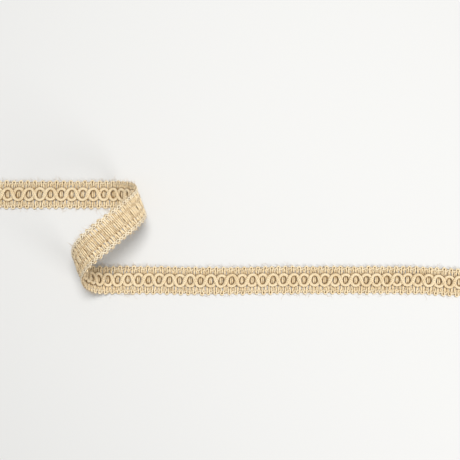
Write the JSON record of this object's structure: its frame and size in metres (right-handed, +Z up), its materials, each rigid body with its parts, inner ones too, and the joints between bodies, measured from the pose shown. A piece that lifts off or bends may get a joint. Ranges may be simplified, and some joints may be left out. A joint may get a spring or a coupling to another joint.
{
  "type": "braid trim",
  "caption": "Narrow cream scroll gimp braid with a chain of rings down its middle and picot loops along both edges, lying flat with one tall slanting loop.",
  "frame": {"origin": "middle of the footprint, on the surface the braid lies on", "axes": "+X along both flat runs, +Y from the lower run towards the upper run, +Z up"},
  "size_m": [0.2416, 0.0596, 0.043],
  "materials": {
    "ground_yarn": "matt woollen yarn, soft and slightly fuzzy",
    "cord_yarn": "matt yarn wrapped round a core, smoother than the ground"
  },
  "bodies": {
    "root": {"ground_band": "ground_yarn", "ring_cord_under": "cord_yarn", "ring_cord_over": "cord_yarn"}
  },
  "joints": []
}
